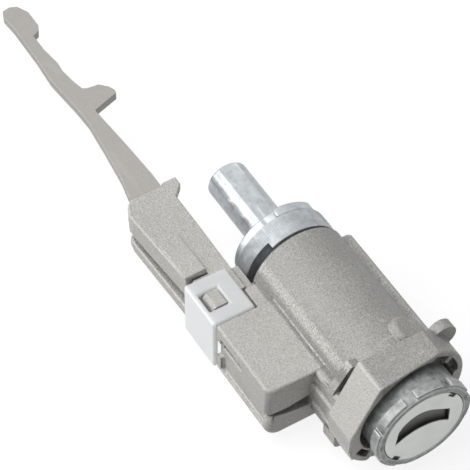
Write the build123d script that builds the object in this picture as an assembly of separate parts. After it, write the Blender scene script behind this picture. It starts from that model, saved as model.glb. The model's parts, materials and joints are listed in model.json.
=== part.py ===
from build123d import *
import math
import os

# Ignition lock cylinder with a hooked interlock lever. Millimetres.
# The lock axis is Y: the key face looks to -Y, the drive shaft points to +Y.
# X is to the right and Z up as seen from the key side. The origin is on the lock axis,
# in the plane of the housing's rear rim.

# Clearances
RUN = 0.06            # radial clearance of a turning fit
SLIP = 0.15           # clearance of a sliding piece in its slot
SEAT = 0.03           # gap left between a pressed piece and its seat

# Housing barrel
BARREL_R = 10.75
BARREL_FRONT = -33.6
BORE_R = 7.46
RAIL_OUT = 12.3
RAIL_TOP = 4.0
RAIL_BOTTOM = -2.0
RAIL_REAR = -0.6
RAIL_CHAMFER = 0.7

# Hood round the key end
HOOD_R = 13.9
HOOD_TOP = 12.2
HOOD_REAR = -33.3
HOOD_FRONT = -39.4
HOOD_SLOPE_X = 0.108  # the hood's front face leans by this much in Y for each mm in X
HOOD_SLOPE_Z = -0.06
FACET_TOP = (-7.9, 12.2)
FACET_FOOT = (-13.8, 0.3)
HOOD_MOUTH_R = 11.4
HOOD_FLOOR = -34.8
POCKET_R = 12.6
POCKET_FROM = 6.0
POCKET_TO = 62.0
POCKET_FLOOR = -36.4
POCKET_RIB_ANGLE = 40.0
POCKET_RIB_WIDTH = 0.9
LUG_X = 11.3
LUG_Z = 8.35
LUG_R = 2.75
LUG_REAR = -32.2
LUG_FRONT = -34.5
BOSS_ANGLE = 58.0
BOSS_WIDE_R = 4.0
BOSS_OUT = 11.75
BOSS_Y = -30.4
BOSS_EDGE = 1.3

# Bulge and pocket at the hood's lower left
BULGE_R = 14.7
BULGE_ARC_FROM = 200.0
BULGE_ARC_TO = 233.0
LOW_POCKET_R = 13.5
LOW_POCKET_IN = 12.0
LOW_POCKET_FROM = 208.0
LOW_POCKET_TO = 228.0
LOW_POCKET_FLOOR = -35.2

# Block, gusset and ribs along the housing's left side, in front of the box
STEP_OUT = -12.4
STEP_TOP = 3.8
STEP_EDGE = 1.0
GUSSET_REAR = -30.2
GUSSET_FRONT = -32.1
GUSSET_PEAK = (-8.4, 9.6)
BAND_OUT = -13.1
SIDE_RIB_OUT = -13.7
SIDE_RIB_TOP = -3.6
SIDE_RIB_BOTTOM = -4.6
LOW_RIB_OUT = -12.9
LOW_RIB_TOP = -6.6
LOW_RIB_BOTTOM = -7.9
BULGE_FROM = -31.0
BULGE_TO = -34.8
BULGE_OUT = -13.4
BULGE_BOTTOM = -10.4
BULGE_EDGE = 1.4

# Side box that carries the lever
BOX_LEFT = -23.0
BOX_TOP = 4.0
BOX_BOTTOM = -11.3
BOX_REAR = -6.9
BOX_FRONT = -25.9
BOX_EDGE_R = 0.6
BOX_LOW_R = 3.0
BOX_FRONT_R = 1.5
BOX_JOIN = -8.5
BOX_GAP = 0.35        # between the box and the lever's neck
CAVITY_LEFT = -21.5
CAVITY_RIGHT = -11.9
CAVITY_TOP = 2.5
CAVITY_BOTTOM = -2.4
CAVITY_END = -24.3
PANEL_DEPTH = 0.8
PANEL_TOP = 1.4
PANEL_BOTTOM = -8.2
PANEL_REAR = -8.3
PANEL_FRONT = -24.3
WINDOW_BOTTOM = -2.2
WINDOW_FRONT = -14.6
FRAME_GAP_TOP = -0.5
FRAME_GAP_BOTTOM = -4.7
# The groove across the box's front, drawn in X and Z: its upper edge and its lower edge
GROOVE_UPPER = ((-21.8, -3.5), (-18.4, -3.7), (-13.3, -2.95))
GROOVE_LOWER = ((-13.3, -6.1), (-17.9, -5.5), (-21.8, -4.4))
GROOVE_DEPTH = 8.0
LEDGE_REAR = -1.3
LEDGE_LEFT = -12.35
STOP_LEFT = -13.3
LEDGE_TOP = 3.3
LEDGE_BOTTOM = -2.0
SHELF_TOP = 2.0
SHELF_REAR = 5.5
SHELF_RIGHT = -10.85

# Drive spindle at the rear
SPINDLE_R = BORE_R - RUN
SPINDLE_FRONT = -13.3
DISC_R = 9.9
DISC_FRONT = 6.15
DISC_REAR = 8.3
HUB_R = 7.2
HUB_REAR = 9.0
DISC_EDGE = 0.5
SHAFT_R = 4.55
SHAFT_END = 27.8
SHAFT_EDGE = 0.7
FLAT_HALF = 2.6
FLAT_TOP = 4.15
FLAT_LEDGE = 0.5
DISC_LUG_R = 10.45
DISC_LUG_FROM = 44.0
DISC_LUG_TO = 96.0

# Cam ring pressed on the spindle's hub
CAM_R = 10.45
CAM_FRONT = 0.9
CAM_STEP = 2.4
CAM_REAR = 6.1
CAM_STEP_FROM = 122.0
CAM_STEP_TO = 200.0

# Plug
PLUG_R = BORE_R - RUN
PLUG_FRONT = -44.75
HEAD_R = 8.5
HEAD_REAR = -41.3
PLUG_REAR = -16.0
PUSH_TRAVEL = 2.5
TONGUE_HALF_X = 4.0
TONGUE_HALF_Z = 1.5
TONGUE_REAR = -10.5
SLOT_END_ROOM = 0.8
KEYWAY_HALF_X = 4.3
KEYWAY_HALF_Z = 1.35
KEYWAY_END = -17.6

# Castellated ring and the cap on the plug's head
RING_R = 10.2
TOOTH_R = 10.85
RING_FRONT = -45.3
RING_REAR = -38.2
RING_TEETH = 8
TOOTH_ARC = 33.0
TOOTH_SHIFT = -4.5
TOOTH_FRONT = -45.0
TOOTH_REAR = -42.9
RING_COUNTERBORE_R = 9.05
CAP_R = 8.9
CAP_FRONT = -45.25
CAP_WALL = 0.35
CAP_SKIRT = 3.2
CAP_NOTCH_ANGLE = 45.0
CAP_NOTCH_WIDTH = 2.2
CAP_NOTCH_DEPTH = 0.9
# The mouth's outline in X and Z: right side, lower edge, left side and upper edge
MOUTH_RIGHT = ((5.8, 1.9), (5.8, -2.0))
MOUTH_LOW = (-0.6, 0.2)
MOUTH_LEFT = ((-6.5, -1.7), (-5.9, 2.4))
MOUTH_CROWN = ((-3.4, 4.8), (-0.9, 5.3), (2.4, 4.0))

# Dust shutter behind the key mouth
SHUTTER_WALL = 0.7
SHUTTER_HALF_X = 5.6
SHUTTER_R = 6.7
SHUTTER_TOP = 5.1
SHUTTER_BOTTOM = -2.3
SHUTTER_FACE = -44.2
SHUTTER_EYE_R = 0.9
SHUTTER_PIN_R = 0.5
SHUTTER_PIN_Y = -43.0
SHUTTER_PIN_Z = 4.3
SHUTTER_PIN_HALF = 6.8
SHUTTER_EYE_HALF = 4.5
SHUTTER_POCKET_R = 7.1
SHUTTER_POCKET_HALF = 6.0
SHUTTER_POCKET_TOP = 5.6
SHUTTER_POCKET_END = -36.4
SHUTTER_SPRING_HALF = 1.1
SHUTTER_SPRING_ROOM = 1.05
SHUTTER_SPRING_R = 0.78
SHUTTER_SPRING_WIRE = 0.25
SHUTTER_SPRING_TURNS = 4

# Tumblers
WAFERS = 8
WAFER_PITCH = 1.85
WAFER_MIDDLE_GAP = 1.1
WAFER_FIRST = -35.6
WAFER_WALL = 0.8
WAFER_R = 6.7
WAFER_HALF_Z = 4.2
WAFER_WINDOW_X = 5.0
WAFER_WINDOW_Z = 1.6
WAFER_REST = -0.5
WAFER_NOTCH = (-3.4, -1.5)
WAFER_NOTCH_TOP = -3.5
WAFER_NOTCH_DEEP = 0.7
COMB_WALL = 0.3
COMB_Z = -5.6
COMB_HALF_X = 2.2
COMB_FINGER = 0.5
COMB_FINGER_TOP = -3.8

# Sidebar over the tumblers
SIDEBAR_HALF_X = 0.8
SIDEBAR_BASE = 4.9
SIDEBAR_TOP = 7.3
SIDEBAR_FRONT = -36.3
SIDEBAR_REAR = -21.8
SIDEBAR_GROOVE = 8.3
SIDEBAR_SPRING_R = 0.42
SIDEBAR_SPRING_WIRE = 0.16
SIDEBAR_SPRING_FOOT = 2.2
SIDEBAR_SPRING_TURNS = 6

# Retaining pins pressed into the housing from below
PIN_R = 0.75
PLUG_PIN_Y = -17.5
SPINDLE_PIN_Y = -7.4
PIN_OUTER = -10.3
PIN_TIP = -6.55
GROOVE_R = 6.3
GROOVE_FROM = -102.0
GROOVE_TO = 34.0

# Detent
TURN_ON = 40.0        # turn from one key position to the next
DETENT_ANGLE = -60.0
DETENT_Y = -4.2
BALL_R = 0.8
BALL_BITE = 0.35
BALL_GAP = 0.08
DETENT_PLUG_FACE = 10.2
DETENT_SPRING_R = 0.5
DETENT_SPRING_WIRE = 0.22
DETENT_SPRING_TURNS = 3

# Coil springs
PUSH_SPRING_R = 5.95
PUSH_SPRING_WIRE = 0.7
PUSH_SPRING_GROOVE_IN = 5.2
PUSH_SPRING_GROOVE_OUT = 6.75
PUSH_SPRING_DEPTH = 4.0
PUSH_SPRING_TURNS = 4
RETURN_SPRING_R = 8.9
RETURN_SPRING_WIRE = 1.0
RETURN_GROOVE_IN = 8.0
RETURN_GROOVE_OUT = 9.8
RETURN_GROOVE_DEPTH = 2.9
RETURN_SPRING_TURNS = 2

# Lever: carrier, plate, clip, pivot pin, spring and plunger
PIVOT_X = -17.6
PIVOT_Y = -10.2
PIVOT_R = 1.25
CARRIER_TOP = 3.4
CARRIER_BOTTOM = -6.7
CARRIER_REAR = 30.2
WEB_BOTTOM = -1.9
CORE_LEFT = -18.9
CORE_REAR = 25.5
FLANGE_TOP = -3.9
ROOT_LOW = 1.45
CARRIER_RIGHT = -12.6
# Left side of the carrier in X and Y, which spreads to the rear
CARRIER_SIDE = ((-22.2, 5.1), (-22.2, 7.0), (-23.45, 24.8), (-23.45, 26.8), (-22.3, 29.4), (-21.1, 30.2))
FLANGE_SIDE = ((-22.9, 5.1), (-22.9, 7.0), (-23.5, 25.0), (-23.1, 27.4), (-21.6, 27.6))
PLATE_WALL = 2.0
PAD_FRONT = 6.6
PAD_REAR = 18.0
PAD_RIGHT = -17.3
PAD_UP = 0.5
PAD_FALL = 0.35
NOTCH_BOTTOM = 1.6
TONGUE_LEFT = -20.6
TONGUE_RIGHT = -14.4
TONGUE_TOP = 2.1
TONGUE_BOTTOM = -2.2
TONGUE_END = -23.6
NECK_LEFT = -20.9
NECK_RIGHT = -14.1
NECK_TOP = 2.9
NECK_BOTTOM = -5.4
STRIP_BOTTOM = 2.35
STRIP_TOP = 3.05
STRIP_END = -0.8
BODY_RIGHT = -13.6
ROOT_WALL = 1.2
ROOT_SIDE = 1.4
CLIP_LEFT = -23.5
CLIP_RIGHT = -13.9
CLIP_REAR = 4.95
CLIP_FRONT = -6.55
CLIP_TOP = 4.0
CLIP_BOTTOM = -9.4
CLIP_WALL = 1.1
WINDOW_X0 = -22.4
WINDOW_X1 = -17.9
WINDOW_Y0 = -3.1
WINDOW_Y1 = 1.5
CATCH_INSET = 0.3
CATCH_GAP = 1.0
CATCH_BEVEL = 0.8
CLIP_EDGE = 0.5
PLUNGER_Y = -21.6
PLUNGER_R = 1.1
LEVER_SPRING_Y = -20.4
LEVER_SPRING_R = 1.0
LEVER_SPRING_BORE = 1.6
LEVER_SPRING_WIRE = 0.4
LEVER_SPRING_DEEP = 3.0
LEVER_SPRING_ROOM = 0.6        # for the lever's swing
LEVER_SPRING_TURNS = 4

# Lever plate outline, from the joint at the carrier round the hooks and back: x, y
PLATE_RIGHT = [(-13.9, 33.9), (-14.4, 43.4), (-15.2, 54.4)]
TAB_FLAT = 55.5
TAB_TIP_X = -9.1
TAB_REAR = 61.6
PLATE_UPPER = [(-14.6, 62.4), (-15.2, 65.0), (-15.7, 69.0), (-15.5, 71.6), (-16.1, 76.6), (-16.1, 81.2)]
HOOK_NOSE = [(-14.5, 82.0), (-13.7, 83.6), (-13.7, 88.2), (-15.0, 90.9)]
HOOK_BACK = [(-16.6, 91.6), (-18.4, 91.2), (-19.0, 89.6)]
PLATE_LEFT = [(-18.7, 85.5), (-18.8, 75.0), (-19.2, 67.8), (-18.4, 58.3), (-18.2, 52.9), (-19.0, 44.5),
              (-20.0, 35.8), (-20.9, 31.7)]
PLATE_ROOT_Y = 20.0
TAB_ROOT_X = -15.2
SIDE_TAB_X = -10.2
SIDE_TAB_Y0 = 26.4
SIDE_TAB_Y1 = 31.0
SIDE_TAB_SLANT = 2.4


def rod(r, y0, y1, x=0.0, z=0.0):
    """A round bar along Y."""
    return Pos(x, (y0 + y1) / 2, z) * Rot(90, 0, 0) * Cylinder(r, y1 - y0)


def rod_z(r, z0, z1, x, y):
    """A round bar along Z."""
    return Pos(x, y, (z0 + z1) / 2) * Cylinder(r, z1 - z0)


def rod_x(r, x0, x1, y, z):
    """A round bar along X."""
    return Pos((x0 + x1) / 2, y, z) * Rot(0, 90, 0) * Cylinder(r, x1 - x0)


def tube(r_out, r_in, y0, y1):
    return rod(r_out, y0, y1) - rod(r_in, y0 - 1, y1 + 1)


def block(x0, x1, y0, y1, z0, z1):
    """A box between two corners."""
    return Pos((x0 + x1) / 2, (y0 + y1) / 2, (z0 + z1) / 2) * Box(x1 - x0, y1 - y0, z1 - z0)


def prism_y(section, y0, y1):
    """A section drawn in X and Z, carried along Y."""
    return extrude(Plane.XZ.offset(-y1) * section, amount=y1 - y0)


def prism_z(section, z0, z1):
    """A section drawn in X and Y, carried along Z."""
    return extrude(Pos(0, 0, z0) * section, amount=z1 - z0)


def prism_x(section, x0, x1):
    """A section drawn in Y and Z, carried along X."""
    return extrude(Plane.YZ.offset(x0) * section, amount=x1 - x0)


def outline(points):
    """A closed face through points."""
    return make_face(Polyline(*points, close=True))


def polar(r, degrees):
    a = math.radians(degrees)
    return (r * math.cos(a), r * math.sin(a))


def sector(r_out, a0, a1, y0, y1, r_in=0.0):
    """A slice of a round bar along Y between two angles, counted from +X towards +Z."""
    reach = 3 * r_out
    steps = max(2, math.ceil(abs(a1 - a0) / 60) + 1)
    angles = [a0 + (a1 - a0) * i / (steps - 1) for i in range(steps)]
    fan = outline([(0, 0)] + [polar(reach, a) for a in angles])
    wedge = prism_y(fan, y0, y1)
    solid = rod(r_out, y0, y1) & wedge
    if r_in > 0:
        solid = solid - rod(r_in, y0 - 1, y1 + 1)
    return solid


def turned(shape, degrees):
    """Turn a shape about the lock axis, so that its angle grows from +X towards +Z."""
    return Rot(0, -degrees, 0) * shape


def coil(radius, wire, y0, y1, turns):
    """A round-wire coil about the lock axis, with its ends inside y0 and y1."""
    rise = (y1 - y0 - 2 * wire) / turns
    path = Pos(0, y0 + wire, 0) * Rot(-90, 0, 0) * Helix(pitch=rise, height=rise * turns, radius=radius)
    start = Plane(origin=path @ 0, z_dir=path % 0)
    return sweep(start * Circle(wire / 2), path=path)


def hood_front_plane():
    """The leaning front face of the hood, with its normal to the rear."""
    return Plane(origin=(0, HOOD_FRONT, 0), z_dir=(-HOOD_SLOPE_X, 1, -HOOD_SLOPE_Z))


def housing():
    body = rod(BARREL_R, BARREL_FRONT, 0)

    # hood: round with a flat top, a flat facet on the upper left and the ear at the lower left
    reach = 2 * HOOD_R
    upper = Circle(HOOD_R) & (Pos(0, HOOD_TOP - reach / 2) * Rectangle(reach, reach))
    facet_low = (FACET_FOOT[0], SIDE_RIB_BOTTOM)
    facet = outline([(0, HOOD_TOP), FACET_TOP, FACET_FOOT, facet_low, (0, SIDE_RIB_BOTTOM)])
    facet_dx = FACET_TOP[0] - FACET_FOOT[0]
    facet_dz = FACET_TOP[1] - FACET_FOOT[1]
    beyond = outline([
        (FACET_FOOT[0] - facet_dx, FACET_FOOT[1] - facet_dz),
        (FACET_TOP[0] + facet_dx, FACET_TOP[1] + facet_dz),
        (FACET_TOP[0] + facet_dx - reach, FACET_TOP[1] + facet_dz),
        (FACET_FOOT[0] - facet_dx - reach, FACET_FOOT[1] - facet_dz),
    ])
    section = (upper - beyond) + facet
    hood = prism_y(section, HOOD_FRONT - 4, HOOD_REAR)
    hood += sector(BULGE_R, BULGE_ARC_FROM, BULGE_ARC_TO, HOOD_FRONT - 4, HOOD_REAR)
    hood += block(BAND_OUT, -10, HOOD_FRONT - 4, BOX_FRONT + 1, SIDE_RIB_BOTTOM, 0)
    hood += block(SIDE_RIB_OUT, -10, HOOD_FRONT - 4, BOX_FRONT + 1, SIDE_RIB_BOTTOM, SIDE_RIB_TOP)
    hood += block(LOW_RIB_OUT, -6, HOOD_FRONT - 4, BOX_FRONT + 1, LOW_RIB_BOTTOM, LOW_RIB_TOP)
    bulge = block(BULGE_OUT, -6, BULGE_TO, BULGE_FROM, BULGE_BOTTOM, LOW_RIB_TOP)
    bulge_edge = bulge.edges().filter_by(Axis.Y).sort_by(lambda e: e.center().X + e.center().Z)[0]
    hood += fillet(bulge_edge, BULGE_EDGE)
    hood = split(hood, bisect_by=hood_front_plane(), keep=Keep.TOP)
    body += hood
    body += rod(LUG_R, LUG_FRONT, LUG_REAR, LUG_X, LUG_Z)
    boss = rod_x(BOSS_WIDE_R, BORE_R + 1, BOSS_OUT, BOSS_Y, 0)
    boss = fillet(boss.edges().filter_by(GeomType.CIRCLE).sort_by(Axis.X)[-1], BOSS_EDGE)
    body += turned(boss, BOSS_ANGLE)
    step = block(STEP_OUT, -7, HOOD_REAR - 1, BOX_FRONT + 1, -1, STEP_TOP)
    step_edge = step.edges().filter_by(Axis.Y).sort_by(lambda e: e.center().Z - e.center().X)[-1]
    body += fillet(step_edge, STEP_EDGE)
    gusset = outline([(-6, BARREL_R - 2), GUSSET_PEAK, (STEP_OUT, STEP_TOP), (STEP_OUT, 0), (-7, 0)])
    body += prism_y(gusset, GUSSET_FRONT, GUSSET_REAR)

    # rail on the right side
    rail = block(BARREL_R - 3, RAIL_OUT, BARREL_FRONT, RAIL_REAR, RAIL_BOTTOM, RAIL_TOP)
    rail_edge = rail.edges().filter_by(Axis.Y).sort_by(lambda e: e.center().X + e.center().Z)[-1]
    body += chamfer(rail_edge, RAIL_CHAMFER)

    # side box
    box_wide = BOX_JOIN - BOX_LEFT
    box_high = BOX_TOP - BOX_BOTTOM
    box_section = Pos((BOX_LEFT + BOX_JOIN) / 2, (BOX_TOP + BOX_BOTTOM) / 2) * Rectangle(box_wide, box_high)
    box = prism_y(box_section, BOX_FRONT, BOX_REAR)
    along = box.edges().filter_by(Axis.Y)
    box = fillet(along.sort_by(lambda e: e.center().X + e.center().Z)[0], BOX_LOW_R)
    upright = box.edges().filter_by(Axis.Z).sort_by(lambda e: e.center().X + e.center().Y)
    box = fillet(upright[0], BOX_FRONT_R)
    top = box.faces().sort_by(Axis.Z)[-1]
    rim = top.edges().filter_by(lambda e: e.center().X < BOX_JOIN - 1 and e.center().Y < BOX_REAR - 1)
    body += fillet(rim, BOX_EDGE_R)
    body += block(STOP_LEFT, -8, BOX_REAR - 1, LEDGE_REAR, LEDGE_BOTTOM, LEDGE_TOP)
    body += block(LEDGE_LEFT, -8, BOX_REAR - 1, 0, LEDGE_BOTTOM, SHELF_TOP)
    body += block(LEDGE_LEFT, SHELF_RIGHT, -1, SHELF_REAR, LEDGE_BOTTOM, SHELF_TOP)

    # lever cavity, open to the rear, and the recesses of the box's left side and front
    body -= block(CAVITY_LEFT, CAVITY_RIGHT, CAVITY_END, BOX_REAR + 1, CAVITY_BOTTOM, CAVITY_TOP)
    body -= block(BOX_LEFT - 1, BOX_LEFT + PANEL_DEPTH, PANEL_FRONT, PANEL_REAR, PANEL_BOTTOM, PANEL_TOP)
    body -= block(BOX_LEFT - 1, CAVITY_LEFT + 1, WINDOW_FRONT, PANEL_REAR, WINDOW_BOTTOM, PANEL_TOP)
    panel_floor = BOX_LEFT + PANEL_DEPTH
    body -= block(BOX_LEFT - 1, panel_floor, PANEL_REAR - 1, BOX_REAR + 1, FRAME_GAP_BOTTOM, FRAME_GAP_TOP)
    groove = outline([*GROOVE_UPPER, *GROOVE_LOWER])
    body -= prism_y(groove, BOX_FRONT - 1, BOX_FRONT + GROOVE_DEPTH)
    groove_mouth = outline([GROOVE_UPPER[0], GROOVE_LOWER[-1], (BOX_LEFT - 1, GROOVE_LOWER[-1][1]),
                            (BOX_LEFT - 1, GROOVE_UPPER[0][1])])
    body -= prism_y(groove_mouth, BOX_FRONT - 1, PANEL_FRONT)
    body -= rod_z(PIVOT_R + SEAT, BOX_BOTTOM - 1, CAVITY_TOP + 0.8, PIVOT_X, PIVOT_Y)
    body -= rod_x(PLUNGER_R + RUN, -BORE_R - 8, -BORE_R + 2, PLUNGER_Y, 0)

    # lock bore, hood mouth, pocket, sidebar groove, spring groove and the pin holes
    body -= rod(BORE_R, HOOD_FRONT - 6, 1)
    body -= rod(HOOD_MOUTH_R, HOOD_FRONT - 6, HOOD_FLOOR)
    body -= sector(POCKET_R, POCKET_FROM, POCKET_TO, HOOD_FRONT - 6, POCKET_FLOOR)
    rib = block(HOOD_MOUTH_R - 0.4, POCKET_R + 0.3, HOOD_FRONT + 0.4, POCKET_FLOOR + 0.5,
                -POCKET_RIB_WIDTH / 2, POCKET_RIB_WIDTH / 2)
    body += turned(rib, POCKET_RIB_ANGLE)
    body -= block(-SIDEBAR_HALF_X - SLIP, SIDEBAR_HALF_X + SLIP, SIDEBAR_FRONT - SLIP - 0.2,
                  SIDEBAR_REAR + PUSH_TRAVEL, BORE_R - 1, SIDEBAR_GROOVE)
    body -= tube(RETURN_GROOVE_OUT, RETURN_GROOVE_IN, -RETURN_GROOVE_DEPTH, 1)
    pocket_mouth = HOOD_FRONT - 6
    body -= sector(LOW_POCKET_R, LOW_POCKET_FROM, LOW_POCKET_TO, pocket_mouth, LOW_POCKET_FLOOR, LOW_POCKET_IN)
    for pin_y in (PLUG_PIN_Y, SPINDLE_PIN_Y):
        body -= rod_z(PIN_R + SEAT, -BARREL_R - 1, -BORE_R + 1, 0, pin_y)
    body -= turned(rod_x(BALL_R + RUN, BORE_R - 1, BARREL_R + 2, DETENT_Y, 0), DETENT_ANGLE)
    return body


def spindle():
    body = rod(SPINDLE_R, SPINDLE_FRONT, DISC_FRONT)
    body += rod(DISC_R, DISC_FRONT, DISC_REAR)
    rims = body.edges().filter_by(GeomType.CIRCLE).sort_by(Axis.Y)
    body = fillet(rims[-1], DISC_EDGE)
    body += rod(HUB_R, DISC_REAR, HUB_REAR)
    body += sector(DISC_LUG_R, DISC_LUG_FROM, DISC_LUG_TO, DISC_FRONT, DISC_REAR, HUB_R)
    shaft = rod(SHAFT_R, HUB_REAR - 1, SHAFT_END)
    shaft = fillet(shaft.edges().filter_by(GeomType.CIRCLE).sort_by(Axis.Y)[-1], SHAFT_EDGE)
    reach = 2 * SHAFT_R
    shaft -= block(-reach, reach, HUB_REAR, SHAFT_END, FLAT_TOP, reach)
    shaft -= block(-reach, -FLAT_HALF, HUB_REAR, SHAFT_END, FLAT_TOP - FLAT_LEDGE, reach)
    body += shaft
    # drive slot for the plug's tongue and groove for the push spring
    slot_end = TONGUE_REAR + PUSH_TRAVEL + SLOT_END_ROOM
    body -= block(-TONGUE_HALF_X - SLIP, TONGUE_HALF_X + SLIP, SPINDLE_FRONT - 1, slot_end,
                  -TONGUE_HALF_Z - SLIP, TONGUE_HALF_Z + SLIP)
    spring_end = SPINDLE_FRONT + PUSH_SPRING_DEPTH
    body -= tube(PUSH_SPRING_GROOVE_OUT, PUSH_SPRING_GROOVE_IN, SPINDLE_FRONT - 1, spring_end)
    # groove for the retaining pin and the three detent hollows
    low = SPINDLE_PIN_Y - PIN_R - SLIP
    high = SPINDLE_PIN_Y + PIN_R + SLIP
    body -= sector(SPINDLE_R + 1, GROOVE_FROM, GROOVE_TO, low, high, GROOVE_R)
    for step in range(3):
        bx, bz = polar(SPINDLE_R + BALL_R - BALL_BITE, DETENT_ANGLE + step * TURN_ON)
        body -= Pos(bx, DETENT_Y, bz) * Sphere(BALL_R + SLIP)
    return body


def cam_ring():
    body = tube(CAM_R, SPINDLE_R + SEAT, CAM_FRONT, CAM_REAR)
    body -= sector(CAM_R + 1, CAM_STEP_FROM, CAM_STEP_TO, CAM_FRONT - 1, CAM_STEP, SPINDLE_R - 1)
    return body


def wafer_places():
    half = WAFERS // 2
    return [WAFER_FIRST + i * WAFER_PITCH + (i // half) * WAFER_MIDDLE_GAP for i in range(WAFERS)]


def middle_of_bar():
    """Where the sidebar's spring sits: in the gap between the two groups of tumblers."""
    half = WAFERS // 2
    return (wafer_places()[half - 1] + wafer_places()[half]) / 2


def plug():
    body = rod(PLUG_R, HEAD_REAR, PLUG_REAR)
    body += rod(HEAD_R, PLUG_FRONT, HEAD_REAR)
    body += block(-TONGUE_HALF_X, TONGUE_HALF_X, PLUG_REAR - 1, TONGUE_REAR, -TONGUE_HALF_Z, TONGUE_HALF_Z)
    body -= block(-KEYWAY_HALF_X, KEYWAY_HALF_X, PLUG_FRONT - 1, KEYWAY_END, -KEYWAY_HALF_Z, KEYWAY_HALF_Z)
    # shutter pocket
    pocket = block(-SHUTTER_POCKET_HALF, SHUTTER_POCKET_HALF, PLUG_FRONT - 1, SHUTTER_POCKET_END,
                   SHUTTER_BOTTOM - 2 * SLIP, SHUTTER_POCKET_TOP)
    body -= pocket & rod(SHUTTER_POCKET_R, PLUG_FRONT - 2, SHUTTER_POCKET_END + 1)
    drill = SHUTTER_PIN_HALF + SEAT
    body -= rod_x(SHUTTER_PIN_R + SEAT, -drill, drill, SHUTTER_PIN_Y, SHUTTER_PIN_Z)
    # tumbler slots, open at both sides of the plug
    slot_half = WAFER_WALL / 2 + 0.1
    for y in wafer_places():
        body -= block(-PLUG_R - 1, PLUG_R + 1, y - slot_half, y + slot_half,
                      -WAFER_HALF_Z - SLIP, WAFER_HALF_Z + SLIP)
    # spring comb channel below and sidebar slot above
    comb_y0 = WAFER_FIRST - 1
    comb_y1 = wafer_places()[-1] + 1
    body -= block(-COMB_HALF_X - SLIP, COMB_HALF_X + SLIP, comb_y0 - SLIP, comb_y1 + SLIP,
                  COMB_Z - COMB_WALL - SLIP, -WAFER_HALF_Z)
    body -= block(-SIDEBAR_HALF_X - SLIP, SIDEBAR_HALF_X + SLIP, SIDEBAR_FRONT - SLIP, SIDEBAR_REAR + SLIP,
                  WAFER_HALF_Z, PLUG_R + 1)
    spring_bore = SIDEBAR_SPRING_R + 2 * SIDEBAR_SPRING_WIRE
    body -= rod_z(spring_bore, SIDEBAR_SPRING_FOOT, SIDEBAR_BASE, 0, middle_of_bar())
    # groove for the retaining pin: the plug turns and is pushed in along it
    body -= sector(PLUG_R + 1, GROOVE_FROM, GROOVE_TO, PLUG_PIN_Y - PIN_R - PUSH_TRAVEL - SLIP,
                   PLUG_PIN_Y + PIN_R + SLIP, GROOVE_R)
    return body


def head_ring():
    body = rod(RING_R, RING_FRONT, RING_REAR)
    for i in range(RING_TEETH):
        start = TOOTH_SHIFT + i * 360 / RING_TEETH - TOOTH_ARC / 2
        body += sector(TOOTH_R, start, start + TOOTH_ARC, TOOTH_FRONT, TOOTH_REAR, RING_R - 1)
    body -= rod(PLUG_R + SEAT, RING_FRONT - 1, RING_REAR + 1)
    body -= rod(RING_COUNTERBORE_R, RING_FRONT - 1, HEAD_REAR + SEAT)
    return body


def key_mouth():
    """The arched key mouth, drawn in X and Z."""
    lower = ThreePointArc(MOUTH_RIGHT[1], MOUTH_LOW, MOUTH_LEFT[0])
    upper = Spline(MOUTH_LEFT[1], *MOUTH_CROWN, MOUTH_RIGHT[0])
    return make_face(Line(*MOUTH_RIGHT) + lower + Line(*MOUTH_LEFT) + upper)


def face_cap():
    body = rod(CAP_R, CAP_FRONT, CAP_FRONT + CAP_SKIRT)
    body -= rod(CAP_R - CAP_WALL, CAP_FRONT + CAP_WALL, CAP_FRONT + CAP_SKIRT + 1)
    body -= prism_y(key_mouth(), CAP_FRONT - 1, CAP_FRONT + 1)
    notch = block(CAP_R - CAP_NOTCH_DEPTH, CAP_R + 1, CAP_FRONT - 1, CAP_FRONT + 1.2,
                  -CAP_NOTCH_WIDTH / 2, CAP_NOTCH_WIDTH / 2)
    for side in (0, 180):
        body -= turned(notch, CAP_NOTCH_ANGLE + side)
    return body


def shutter():
    flap = block(-SHUTTER_HALF_X, SHUTTER_HALF_X, SHUTTER_FACE, SHUTTER_FACE + SHUTTER_WALL,
                 SHUTTER_BOTTOM, SHUTTER_TOP)
    flap &= rod(SHUTTER_R, SHUTTER_FACE - 1, SHUTTER_FACE + 3)
    flap += rod_x(SHUTTER_EYE_R, -SHUTTER_EYE_HALF, SHUTTER_EYE_HALF, SHUTTER_PIN_Y, SHUTTER_PIN_Z)
    flap -= rod_x(SHUTTER_PIN_R + RUN, -SHUTTER_HALF_X, SHUTTER_HALF_X, SHUTTER_PIN_Y, SHUTTER_PIN_Z)
    # room for the spring in the middle
    flap -= block(-SHUTTER_SPRING_HALF, SHUTTER_SPRING_HALF, SHUTTER_FACE - 1, SHUTTER_PIN_Y + 2,
                  SHUTTER_PIN_Z - SHUTTER_SPRING_ROOM, SHUTTER_TOP + 1)
    return flap


def shutter_pin():
    return rod_x(SHUTTER_PIN_R, -SHUTTER_PIN_HALF, SHUTTER_PIN_HALF, SHUTTER_PIN_Y, SHUTTER_PIN_Z)


def wafer(index):
    y = wafer_places()[index]
    back = y - WAFER_WALL / 2
    face = y + WAFER_WALL / 2
    plate = rod(WAFER_R, back, face)
    plate &= block(-WAFER_R, WAFER_R, y - 1, y + 1, -WAFER_HALF_Z, WAFER_HALF_Z)
    plate -= block(-WAFER_WINDOW_X, WAFER_WINDOW_X, y - 1, y + 1, -WAFER_WINDOW_Z, WAFER_WINDOW_Z)
    # notches for the sidebar in the top edge and for the comb in the lower edge
    plate -= block(-SIDEBAR_HALF_X - SLIP, SIDEBAR_HALF_X + SLIP, y - 1, y + 1,
                   WAFER_HALF_Z - WAFER_NOTCH_DEEP, WAFER_HALF_Z + 1)
    plate = Pos(WAFER_REST, 0, 0) * plate
    plate -= block(WAFER_NOTCH[0], WAFER_NOTCH[1], y - 1, y + 1, -WAFER_HALF_Z - 1, WAFER_NOTCH_TOP)
    return plate


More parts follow.
